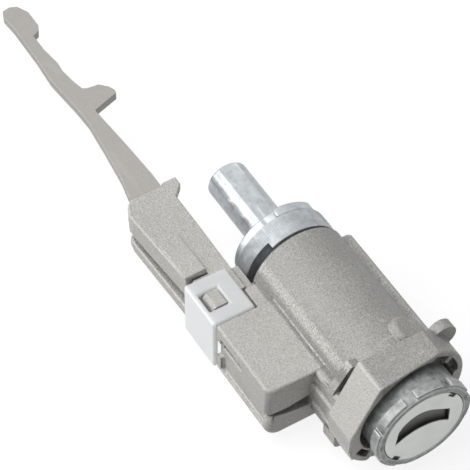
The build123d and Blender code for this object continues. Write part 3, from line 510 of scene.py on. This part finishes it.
def ring_material(name, colour, worn):
    """The toothed ring: mottled grey, and bright where its teeth are rubbed."""
    material, tree, shader, where = new_material(name)
    grain = placed(tree, grain_group(), Position=where, Per_metre=1 / sizes().grain)
    tone = placed(tree, blotch_group(), Position=where, Per_metre=560.0)["Tone"]
    grey = blend(tree, tone, scaled(colour, 0.5), scaled(colour, 1.5))
    bright = blend(tree, tone, scaled(colour, 0.8), worn)
    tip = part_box("head_ring")[1][0] - TOOTH_TIP
    tips = remap(tree, far_out(tree, where), From_Min=tip, From_Max=tip + TOOTH_FADE)
    base = edged(tree, blend(tree, tips, grey, bright), scaled(worn, 1.4), grain["Speckle"], 0.9)
    dress(
        tree, shader,
        # painted shade, darker in the ring's own grooves and around its teeth
        Base_Color=crevice_shaded(tree, base, 1.2, 0.3),
        Roughness=spread(tree, grain["Speckle"], 0.38, 0.55),
        Metallic=0.35,
        Normal=bumped(tree, grain["Height"], 0.35, 0.05),
    )
    return material


def cap_material(name, colour):
    """Satin metal with fine turned rings."""
    material, tree, shader, where = new_material(name)
    rings = placed(tree, turned_group(), Position=where, Per_metre=2200.0)["Height"]
    tone = placed(tree, blotch_group(), Position=where, Per_metre=160.0)["Tone"]
    dress(
        tree, shader,
        Base_Color=blend(tree, tone, scaled(colour, 0.94), scaled(colour, 1.06)),
        Roughness=spread(tree, rings, 0.34, 0.46),
        Metallic=0.6,
        Normal=bumped(tree, rings, 0.12, 0.02),
    )
    return material


def plate_material(name, colour):
    """Dull stamped steel, brushed along its length and speckled in patches."""
    material, tree, shader, where = new_material(name)
    streaks = placed(tree, streak_group(), Position=where, Stretch=(1.0, 0.25, 1.0), Per_metre=1400.0)
    tone = placed(tree, blotch_group(), Position=where, Per_metre=110.0)["Tone"]
    grain = placed(tree, grain_group(), Position=where, Per_metre=1 / sizes().grain)
    cloudy = blend(tree, tone, scaled(colour, 0.93), scaled(colour, 1.07))
    brushed = blend(tree, streaks["Scratches"], scaled(colour, 0.97), scaled(colour, 1.2))
    speckled = blend(tree, grain["Speckle"], scaled(colour, 0.86), scaled(colour, 1.12))
    base = blend(tree, streaks["Height"], cloudy, brushed)
    dress(
        tree, shader,
        Base_Color=blend(tree, tone, base, speckled),
        Roughness=spread(tree, grain["Speckle"], 0.5, 0.68),
        Metallic=0.45,
        Normal=bumped(tree, grain["Height"], 0.35, 0.06),
    )
    return material


def nylon_material(name, colour):
    """White nylon with a painted glow, strongest on its thin left wall."""
    material, tree, shader, where = new_material(name)
    tone = placed(tree, blotch_group(), Position=where, Per_metre=150.0)["Tone"]
    grain = placed(tree, grain_group(), Position=where, Per_metre=1600.0)
    glowing_wall = between(tree, where, "X", LEFT_OF_ALL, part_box("lever_clip")[0][0] + CLIP_SKIN, CLIP_SKIN)
    dress(
        tree, shader,
        Base_Color=blend(tree, tone, scaled(colour, 0.95), scaled(colour, 1.03)),
        Roughness=spread(tree, grain["Speckle"], 0.28, 0.4),
        # painted glow: the clip shines by itself, brightest on its left wall
        Emission_Color=blend(tree, glowing_wall, *CLIP_PAINTED_GLOW),
        Emission_Strength=0.21,
        Subsurface_Weight=0.4,
        Subsurface_Radius=(1.0, 1.0, 1.0),
        Subsurface_Scale=3.0 * MM,
        Normal=bumped(tree, grain["Height"], 0.15, 0.02),
    )
    return material


def plain_material(name, colour, metallic, rough):
    """Wire, pins, brass and moulded black: small pieces with a little grain."""
    material, tree, shader, where = new_material(name)
    grain = placed(tree, grain_group(), Position=where, Per_metre=2800.0)
    tone = placed(tree, blotch_group(), Position=where, Per_metre=400.0)["Tone"]
    dress(
        tree, shader,
        Base_Color=blend(tree, tone, scaled(colour, 0.85), scaled(colour, 1.12)),
        Roughness=spread(tree, grain["Speckle"], rough * 0.8, rough * 1.25),
        Metallic=metallic,
        Normal=bumped(tree, grain["Height"], 0.15, 0.02),
    )
    return material


# Pieces


def body_of_node(node):
    """The moving body that the node belongs to."""
    for body, nodes in frame["record"]["behaviour"]["bodies"].items():
        if node in nodes:
            return body
    raise RuntimeError(f"no body holds {node}")


def slot_of_node(node):
    """The material slot that the record gives the node."""
    for row in frame["record"]["subparts"]:
        if row["node"] == node:
            return row["material_slot"]
    raise RuntimeError(f"no material slot for {node}")


def merged_copy(node):
    """The CAD node's mesh with its triangles joined and its flat faces made whole."""
    shell = bmesh.new()
    shell.from_mesh(frame["nodes"][node].data)
    bmesh.ops.remove_doubles(shell, verts=shell.verts, dist=JOIN_WITHIN)
    bmesh.ops.dissolve_limit(
        shell, angle_limit=FLAT_WITHIN, verts=shell.verts, edges=shell.edges, delimit={"NORMAL"}
    )
    mesh = bpy.data.meshes.new(node + "_rounded")
    shell.to_mesh(mesh)
    shell.free()
    return mesh


def edge_room(shell, edges, width):
    """How wide each of the edges can be rounded: a short neighbour leaves less room."""
    room = dict.fromkeys(edges, width)
    runs_on = []

    def keep(edge, reach):
        if edge in room:
            room[edge] = min(room[edge], reach)

    for face in shell.faces:
        for loop in face.loops:
            first, second = loop.edge, loop.link_loop_next.edge
            corner = loop.link_loop_next.calc_angle()
            if first in room and second in room:
                reach = EDGE_SHARE * min(first.calc_length(), second.calc_length()) * math.tan(corner / 2)
                keep(first, reach)
                keep(second, reach)
                if corner > CHAIN_ANGLE:
                    runs_on.append((first, second))
            else:
                keep(first, EDGE_SHARE * second.calc_length() * math.sin(corner))
                keep(second, EDGE_SHARE * first.calc_length() * math.sin(corner))
    # edges that run on into each other get one width, the narrowest of them
    changed = True
    while changed:
        changed = False
        for first, second in runs_on:
            if room[first] != room[second]:
                room[first] = room[second] = min(room[first], room[second])
                changed = True
    return room


def spoiled_corners(mesh, surface, width):
    """The corners of the faces that a rounding too wide for its place has folded, turned or thrown off."""
    mesh.calc_loop_triangles()
    area = [0.0] * len(mesh.polygons)
    for triangle in mesh.loop_triangles:
        area[triangle.polygon_index] += triangle.area
    corners = []
    for polygon in mesh.polygons:
        points = [mesh.vertices[i].co for i in polygon.vertices]
        span = Vector((0, 0, 0))
        for point, after in zip(points, points[1:] + points[:1]):
            span += point.cross(after)
        folded = area[polygon.index] > span.length / 2 + LEAST_FOLD
        stray = False
        if len(points) <= STRAY_CORNERS and LEAST_FACE < polygon.area < LARGEST_STRAY:
            _, normal, _, far = surface.find_nearest(polygon.center)
            stray = far > STRAY_SHARE * width or normal.dot(polygon.normal) < 0
        if folded or stray:
            corners += [point.copy() for point in points]
    return corners


def give_edges_room(mesh, width, left_sharp):
    """Write each sharp edge's share of the rounding width as its bevel weight, except near left_sharp."""
    shell = bmesh.new()
    shell.from_mesh(mesh)
    weight = shell.edges.layers.float.new("bevel_weight_edge")
    edges = [e for e in shell.edges if len(e.link_faces) == 2 and e.calc_face_angle() > SHARP_ABOVE]
    if left_sharp:
        near = KDTree(len(left_sharp))
        for i, corner in enumerate(left_sharp):
            near.insert(corner, i)
        near.balance()
        clear = LEFT_SHARP_REACH * width
        edges = [e for e in edges if max(near.find(v.co)[2] for v in e.verts) > clear]
    room = edge_room(shell, edges, width)
    while min(room.values()) < LEAST_ROUNDING:
        room = edge_room(shell, [e for e in room if room[e] >= LEAST_ROUNDING], width)
    for edge, reach in room.items():
        edge[weight] = reach / width
    shell.to_mesh(mesh)
    shell.free()


def keep_inside(mesh, low, high):
    """Hold the mesh inside the node's own box."""
    for vertex in mesh.vertices:
        vertex.co = [min(max(c, a), b) for c, a, b in zip(vertex.co, low, high)]


def mark_worn(mesh):
    """Turn the rounding's faces, which came with the second material, into the colour attribute "worn"."""
    worn = mesh.color_attributes.new("worn", "FLOAT_COLOR", "CORNER")
    for polygon in mesh.polygons:
        share = float(polygon.material_index == 1)
        for corner in polygon.loop_indices:
            worn.data[corner].color = (share, share, share, 1)
        polygon.material_index = 0


def smooth_by_angle(mesh):
    """Shade the mesh smooth where its faces meet at a blunt angle."""
    mesh.polygons.foreach_set("use_smooth", [True] * len(mesh.polygons))
    mesh.set_sharp_from_angle(angle=SMOOTH_BELOW)


def plain_mesh(maker):
    """The maker object's evaluated mesh; the maker is removed."""
    depsgraph = bpy.context.evaluated_depsgraph_get()
    mesh = bpy.data.meshes.new_from_object(maker.evaluated_get(depsgraph), depsgraph=depsgraph)
    bpy.data.objects.remove(maker)
    return mesh


def piece(name, mesh, material, node):
    """A finished piece that stands for a CAD node, or stands on it."""
    obj = bpy.data.objects.new(name, mesh)
    bpy.context.scene.collection.objects.link(obj)
    mesh.materials.clear()
    mesh.materials.append(material)
    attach(obj, body_of_node(node))
    return obj


def rounded(node, edge, material):
    """The CAD node with rounded edges and its finish, in place of the bare one."""
    shell = bmesh.new()
    shell.from_mesh(merged_copy(node))
    surface = BVHTree.FromBMesh(shell)
    shell.free()
    left_sharp = []
    before = 0
    for _ in range(ROUNDING_TRIES):
        mesh = rounded_mesh(node, edge, left_sharp)
        spoiled = spoiled_corners(mesh, surface, edge)
        if len(spoiled) in (0, before):
            break
        before = len(spoiled)
        left_sharp += spoiled
    keep_inside(mesh, *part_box(node))
    mark_worn(mesh)
    obj = piece(node + "_finished", mesh, material, node)
    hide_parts(node)
    return obj


def rounded_mesh(node, edge, left_sharp):
    """A copy of the node's mesh with its sharp edges rounded, those faces carrying the second material."""
    maker = bpy.data.objects.new(node + "_maker", merged_copy(node))
    bpy.context.scene.collection.objects.link(maker)
    give_edges_room(maker.data, edge, left_sharp)
    maker.data.materials.append(None)
    maker.data.materials.append(None)
    bevel = maker.modifiers.new("Edges", "BEVEL")
    bevel.width = edge
    bevel.segments = ROUNDING_SEGMENTS
    bevel.limit_method = "WEIGHT"
    bevel.use_clamp_overlap = False
    bevel.material = 1
    smooth_by_angle(maker.data)
    level = maker.modifiers.new("Level flats", "WEIGHTED_NORMAL")
    level.keep_sharp = True
    level.weight = 100
    return plain_mesh(maker)


def finish_node(node, material):
    """The CAD node as it is, with its finish."""
    shown = frame["nodes"][node]
    shown.data.materials.clear()
    shown.data.materials.append(material)


# Geometry Nodes

QUARTER_TURN = (math.pi / 2, 0, 0)


def rule_tree(name, **inputs):
    """A Geometry Nodes tree with an input of each kind named, and the outputs that give their values."""
    tree = bpy.data.node_groups.new(name, "GeometryNodeTree")
    tree.is_modifier = True
    tree.interface.new_socket("Geometry", in_out="INPUT", socket_type="NodeSocketGeometry")
    for label, kind in inputs.items():
        tree.interface.new_socket(label, in_out="INPUT", socket_type="NodeSocket" + kind)
    tree.interface.new_socket("Geometry", in_out="OUTPUT", socket_type="NodeSocketGeometry")
    return tree, tree.nodes.new("NodeGroupInput").outputs


def end_rule(tree, geometry, material):
    """End the tree with real geometry in the given material."""
    real = add(tree, "GeometryNodeRealizeInstances", {"Geometry": geometry}).outputs[0]
    painted = add(tree, "GeometryNodeSetMaterial", {"Geometry": real, "Material": material}).outputs[0]
    feed(tree, tree.nodes.new("NodeGroupOutput").inputs[0], painted)
    return tree


def flute_tree():
    """Fine ridges round the lock axis on a ring, each lying along the axis."""
    tree, given = rule_tree(
        "Ring flutes", Count="Int", Radius="Float", From="Float", To="Float", Width="Float", Height="Float",
        Seed="Int", Material="Material",
    )
    low, high = given["From"], given["To"]
    middle = calc(tree, "MULTIPLY", calc(tree, "ADD", low, high), 0.5)
    circle = add(tree, "GeometryNodeMeshCircle", {
        "Vertices": given["Count"], "Radius": given["Radius"],
    }, fill_type="NONE").outputs["Mesh"]
    upright = add(tree, "GeometryNodeTransform", {"Geometry": circle, "Rotation": QUARTER_TURN}).outputs[0]
    shift = add(tree, "ShaderNodeCombineXYZ", {"Y": middle}).outputs[0]
    points = add(tree, "GeometryNodeTransform", {"Geometry": upright, "Translation": shift}).outputs[0]
    ridge = add(tree, "GeometryNodeMeshCylinder", {
        "Vertices": 6, "Radius": 1.0, "Depth": 1.0,
    }, fill_type="NGON").outputs["Mesh"]
    lying = add(tree, "GeometryNodeTransform", {"Geometry": ridge, "Rotation": QUARTER_TURN}).outputs[0]
    here = add(tree, "GeometryNodeInputPosition").outputs[0]
    outwards = add(tree, "ShaderNodeVectorMath", {0: here, 1: (1, 0, 1)}, operation="MULTIPLY").outputs[0]
    aim = add(tree, "FunctionNodeAlignRotationToVector", {"Vector": outwards}, axis="Z", pivot_axis="Y")
    # the sockets 2 and 3 are the lowest and highest number, and output 1 is the number
    vary = add(tree, "FunctionNodeRandomValue", {
        2: FLUTE_VARIES[0], 3: FLUTE_VARIES[1], "Seed": given["Seed"],
    }, data_type="FLOAT").outputs[1]
    scale = add(tree, "ShaderNodeCombineXYZ", {
        "X": calc(tree, "MULTIPLY", given["Width"], 0.5),
        "Y": calc(tree, "SUBTRACT", high, low),
        "Z": calc(tree, "MULTIPLY", given["Height"], vary),
    }).outputs[0]
    ridges = add(tree, "GeometryNodeInstanceOnPoints", {
        "Points": points, "Instance": lying, "Rotation": aim.outputs[0], "Scale": scale,
    }).outputs[0]
    return end_rule(tree, ridges, given["Material"])


def coil_tree():
    """A round-wire coil about the lock axis."""
    tree, given = rule_tree(
        "Wire coil", Turns="Float", Radius="Float", From="Float", To="Float", Wire="Float",
        Material="Material",
    )
    spiral = add(tree, "GeometryNodeCurveSpiral", {
        "Resolution": 40, "Rotations": given["Turns"],
        "Start Radius": given["Radius"], "End Radius": given["Radius"],
        "Height": calc(tree, "SUBTRACT", given["To"], given["From"]),
    }).outputs[0]
    path = add(tree, "GeometryNodeTransform", {
        "Geometry": spiral, "Rotation": (-math.pi / 2, 0, 0),
        "Translation": add(tree, "ShaderNodeCombineXYZ", {"Y": given["From"]}).outputs[0],
    }).outputs[0]
    section = add(tree, "GeometryNodeCurvePrimitiveCircle", {
        "Resolution": 10, "Radius": calc(tree, "MULTIPLY", given["Wire"], 0.5),
    }).outputs[0]
    tube = add(tree, "GeometryNodeCurveToMesh", {
        "Curve": path, "Profile Curve": section, "Fill Caps": True,
    }).outputs[0]
    smooth = add(tree, "GeometryNodeSetShadeSmooth", {"Geometry": tube}).outputs[0]
    return end_rule(tree, smooth, given["Material"])


def grown(name, tree, values):
    """The plain mesh that a Geometry Nodes tree makes from the named values."""
    maker = bpy.data.objects.new(name + "_maker", bpy.data.meshes.new(name + "_seed"))
    bpy.context.scene.collection.objects.link(maker)
    modifier = maker.modifiers.new("Rule", "NODES")
    modifier.node_group = tree
    for item in tree.interface.items_tree:
        if item.item_type == "SOCKET" and item.in_out == "INPUT" and item.name in values:
            modifier[item.identifier] = values[item.name]
    return plain_mesh(maker)


# Operators


class LOCK_OT_castings(bpy.types.Operator):
    """Round and finish the die-cast housing and the lever carrier"""

    bl_idname = "lock.castings"
    bl_label = "Castings"

    def execute(self, context):
        material = cast_material("Cast grey zinc", colours().cast, colours().rubbed)
        rounded("housing", sizes().cast_edge, material)
        rounded("lever_carrier", sizes().cast_edge, material)
        return {"FINISHED"}


class LOCK_OT_spindle(bpy.types.Operator):
    """Finish the plated spindle, and the cam ring with its fine flutes"""

    bl_idname = "lock.spindle"
    bl_label = "Spindle and cam ring"

    def execute(self, context):
        # the shaft carries a painted dark reflection
        shaft = plated_material("Plated steel", colours().plated, 0.12, (0.40, 0.56), 0.15, SHAFT_DARK_REFLECTION)
        rounded("spindle", 2.5 * sizes().fine_edge, shaft)
        silver = scaled(colours().plated, 0.85)
        # painted shade on the cam ring's left dims the side lamp's reflection there
        ring = plated_material("Fluted steel", silver, 0.1, (0.52, 0.68), 0.2, CAM_RING_SHADE)
        rounded("cam_ring", sizes().fine_edge, ring)
        low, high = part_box("cam_ring")
        flutes = grown("cam_ring_flutes", flute_tree(), {
            "Count": sizes().flute_count,
            "Radius": high[0] - FLUTE_SUNK * sizes().flute_high,
            "From": low[1] + FLUTE_FROM,
            "To": high[1] - FLUTE_TO,
            "Width": sizes().flute_wide,
            "Height": sizes().flute_high,
            "Seed": FLUTE_SEED,
            "Material": ring,
        })
        piece("cam_ring_flutes", flutes, ring, "cam_ring")
        return {"FINISHED"}


class LOCK_OT_key_face(bpy.types.Operator):
    """Finish the toothed head ring, the cap, the plug and the dust shutter"""

    bl_idname = "lock.key_face"
    bl_label = "Key face"

    def execute(self, context):
        ring = ring_material("Worn ring", colours().ring, colours().worn)
        rounded("head_ring", 2.0 * sizes().fine_edge, ring)
        rounded("face_cap", sizes().fine_edge, cap_material("Satin cap", colours().cap))
        plug = plated_material("Plug grey", scaled(colours().cast, 0.9), 0.2, (0.35, 0.5), 0.25)
        finish_node("plug", plug)
        finish_node("shutter", plain_material("Black moulding", colours().dark, 0.0, 0.4))
        return {"FINISHED"}


class LOCK_OT_lever(bpy.types.Operator):
    """Finish the hooked lever plate and the white clip"""

    bl_idname = "lock.lever"
    bl_label = "Lever plate and clip"

    def execute(self, context):
        rounded("lever_plate", sizes().fine_edge, plate_material("Stamped steel", colours().plate))
        rounded("lever_clip", sizes().fine_edge * 4.5, nylon_material("White nylon", colours().clip))
        return {"FINISHED"}


class LOCK_OT_springs(bpy.types.Operator):
    """Wind the two springs round the lock axis, and finish the small wire springs"""

    bl_idname = "lock.springs"
    bl_label = "Springs"

    def execute(self, context):
        wire = plain_material("Spring wire", colours().wire, 0.9, 0.35)
        tree = coil_tree()
        for node, (turns, thick) in COILS.items():
            low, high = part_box(node)
            mesh = grown(node, tree, {
                "Turns": turns,
                "Radius": high[0] - thick / 2 * MM,
                "From": low[1] + thick / 2 * MM,
                "To": high[1] - thick / 2 * MM,
                "Wire": thick * MM,
                "Material": wire,
            })
            obj = piece(node + "_wound", mesh, wire, node)
            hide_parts(node)
            if node == "push_spring":
                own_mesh(obj)
        for node in ("detent_spring", "shutter_spring", "sidebar_spring", "lever_spring", "spring_comb"):
            finish_node(node, wire)
        return {"FINISHED"}


class LOCK_OT_small_pieces(bpy.types.Operator):
    """Finish the tumblers, the sidebar, the pins and the plunger"""

    bl_idname = "lock.small_pieces"
    bl_label = "Tumblers and pins"

    def execute(self, context):
        brass = plain_material("Tumbler brass", colours().brass, 0.9, 0.35)
        pin = plain_material("Ground pin", scaled(colours().wire, 1.3), 0.9, 0.3)
        for node in frame["nodes"]:
            if slot_of_node(node) == "wafer_brass":
                finish_node(node, brass)
            if slot_of_node(node) == "pin_steel":
                finish_node(node, pin)
        return {"FINISHED"}


class LOCK_OT_stage(bpy.types.Operator):
    """Set the floor, the lamps and the camera"""

    bl_idname = "lock.stage"
    bl_label = "Stage"

    def execute(self, context):
        scene = context.scene
        scene.view_settings.view_transform = "Standard"
        self.floor(scene)
        self.world(scene)
        for lamp in LAMPS:
            self.lamp(scene, *lamp)
        self.camera(scene)
        return {"FINISHED"}

    def floor(self, scene):
        level = CAD_BOX[0][2] - FLOOR_GAP
        corners = [(x * FLOOR_HALF, y * FLOOR_HALF, level) for x, y in ((-1, -1), (1, -1), (1, 1), (-1, 1))]
        mesh = bpy.data.meshes.new("floor")
        mesh.from_pydata(corners, [], [(0, 1, 2, 3)])
        floor = bpy.data.objects.new("floor", mesh)
        scene.collection.objects.link(floor)
        material, tree, shader, _ = new_material("Pale floor")
        dress(
            tree, shader,
            Base_Color=colours().floor,
            Roughness=0.9,
            Specular_IOR_Level=0.0,
            Emission_Color=(1, 1, 1, 1),
            Emission_Strength=calc(tree, "MULTIPLY", self.seen_directly(tree), FLOOR_GLOW),
        )
        mesh.materials.append(material)

    def seen_directly(self, tree):
        """1 for rays from the camera or mirrored by metal, and 0 for the light on the lock."""
        ray = tree.nodes.new("ShaderNodeLightPath").outputs
        first = calc(tree, "MAXIMUM", ray["Is Camera Ray"], ray["Is Glossy Ray"])
        return calc(tree, "MAXIMUM", first, ray["Is Transmission Ray"])

    def world(self, scene):
        world = bpy.data.worlds.new("Studio")
        scene.world = world
        world.use_nodes = True
        tree = world.node_tree
        strength = spread(tree, self.seen_directly(tree), WORLD_LIGHT, 1.0)
        dress(tree, tree.nodes["Background"], Color=(1, 1, 1, 1), Strength=strength)

    def lamp(self, scene, name, place, wide, power):
        """A round lamp that shines on the origin."""
        data = bpy.data.lights.new(name, "AREA")
        data.shape = "DISK"
        data.size = wide
        data.energy = power
        lamp = bpy.data.objects.new(name, data)
        lamp.location = place
        lamp.rotation_euler = (-Vector(place)).to_track_quat("-Z", "Y").to_euler()
        scene.collection.objects.link(lamp)

    def camera(self, scene):
        data = bpy.data.cameras.new("Camera")
        data.sensor_width = SENSOR
        data.lens = LENS
        data.clip_start = SEEN_FROM
        data.clip_end = SEEN_TO
        camera = bpy.data.objects.new("Camera", data)
        right, up = Vector(CAMERA_RIGHT).normalized(), Vector(CAMERA_UP).normalized()
        turn = Matrix((right, up, right.cross(up))).transposed().to_4x4()
        camera.matrix_world = Matrix.Translation(CAMERA_AT) @ turn
        scene.collection.objects.link(camera)
        scene.camera = camera


PIECE_OPERATORS = (
    LOCK_OT_castings,
    LOCK_OT_spindle,
    LOCK_OT_key_face,
    LOCK_OT_lever,
    LOCK_OT_springs,
    LOCK_OT_small_pieces,
    LOCK_OT_stage,
)


class LOCK_PT_panel(bpy.types.Panel):
    """The lock cylinder's sizes, colours and pieces"""

    bl_idname = "LOCK_PT_panel"
    bl_label = "Lock cylinder"
    bl_space_type = "VIEW_3D"
    bl_region_type = "UI"
    bl_category = "Lock"

    def draw(self, context):
        layout = self.layout
        for settings in (context.scene.lock_sizes, context.scene.lock_colours):
            box = layout.box()
            for name in settings.bl_rna.properties.keys():
                if name not in ("rna_type", "name"):
                    box.prop(settings, name)
        for operator in PIECE_OPERATORS:
            layout.operator(operator.bl_idname)


CLASSES = (LockColours, LockSizes, *PIECE_OPERATORS, LOCK_PT_panel)


def register():
    for cls in CLASSES:
        bpy.utils.register_class(cls)
    bpy.types.Scene.lock_colours = bpy.props.PointerProperty(type=LockColours)
    bpy.types.Scene.lock_sizes = bpy.props.PointerProperty(type=LockSizes)


def unregister():
    del bpy.types.Scene.lock_sizes
    del bpy.types.Scene.lock_colours
    for cls in reversed(CLASSES):
        bpy.utils.unregister_class(cls)


def main():
    register()
    for operator in PIECE_OPERATORS:
        family, name = operator.bl_idname.split(".")
        getattr(getattr(bpy.ops, family), name)()


if __name__ == "__main__":
    main()
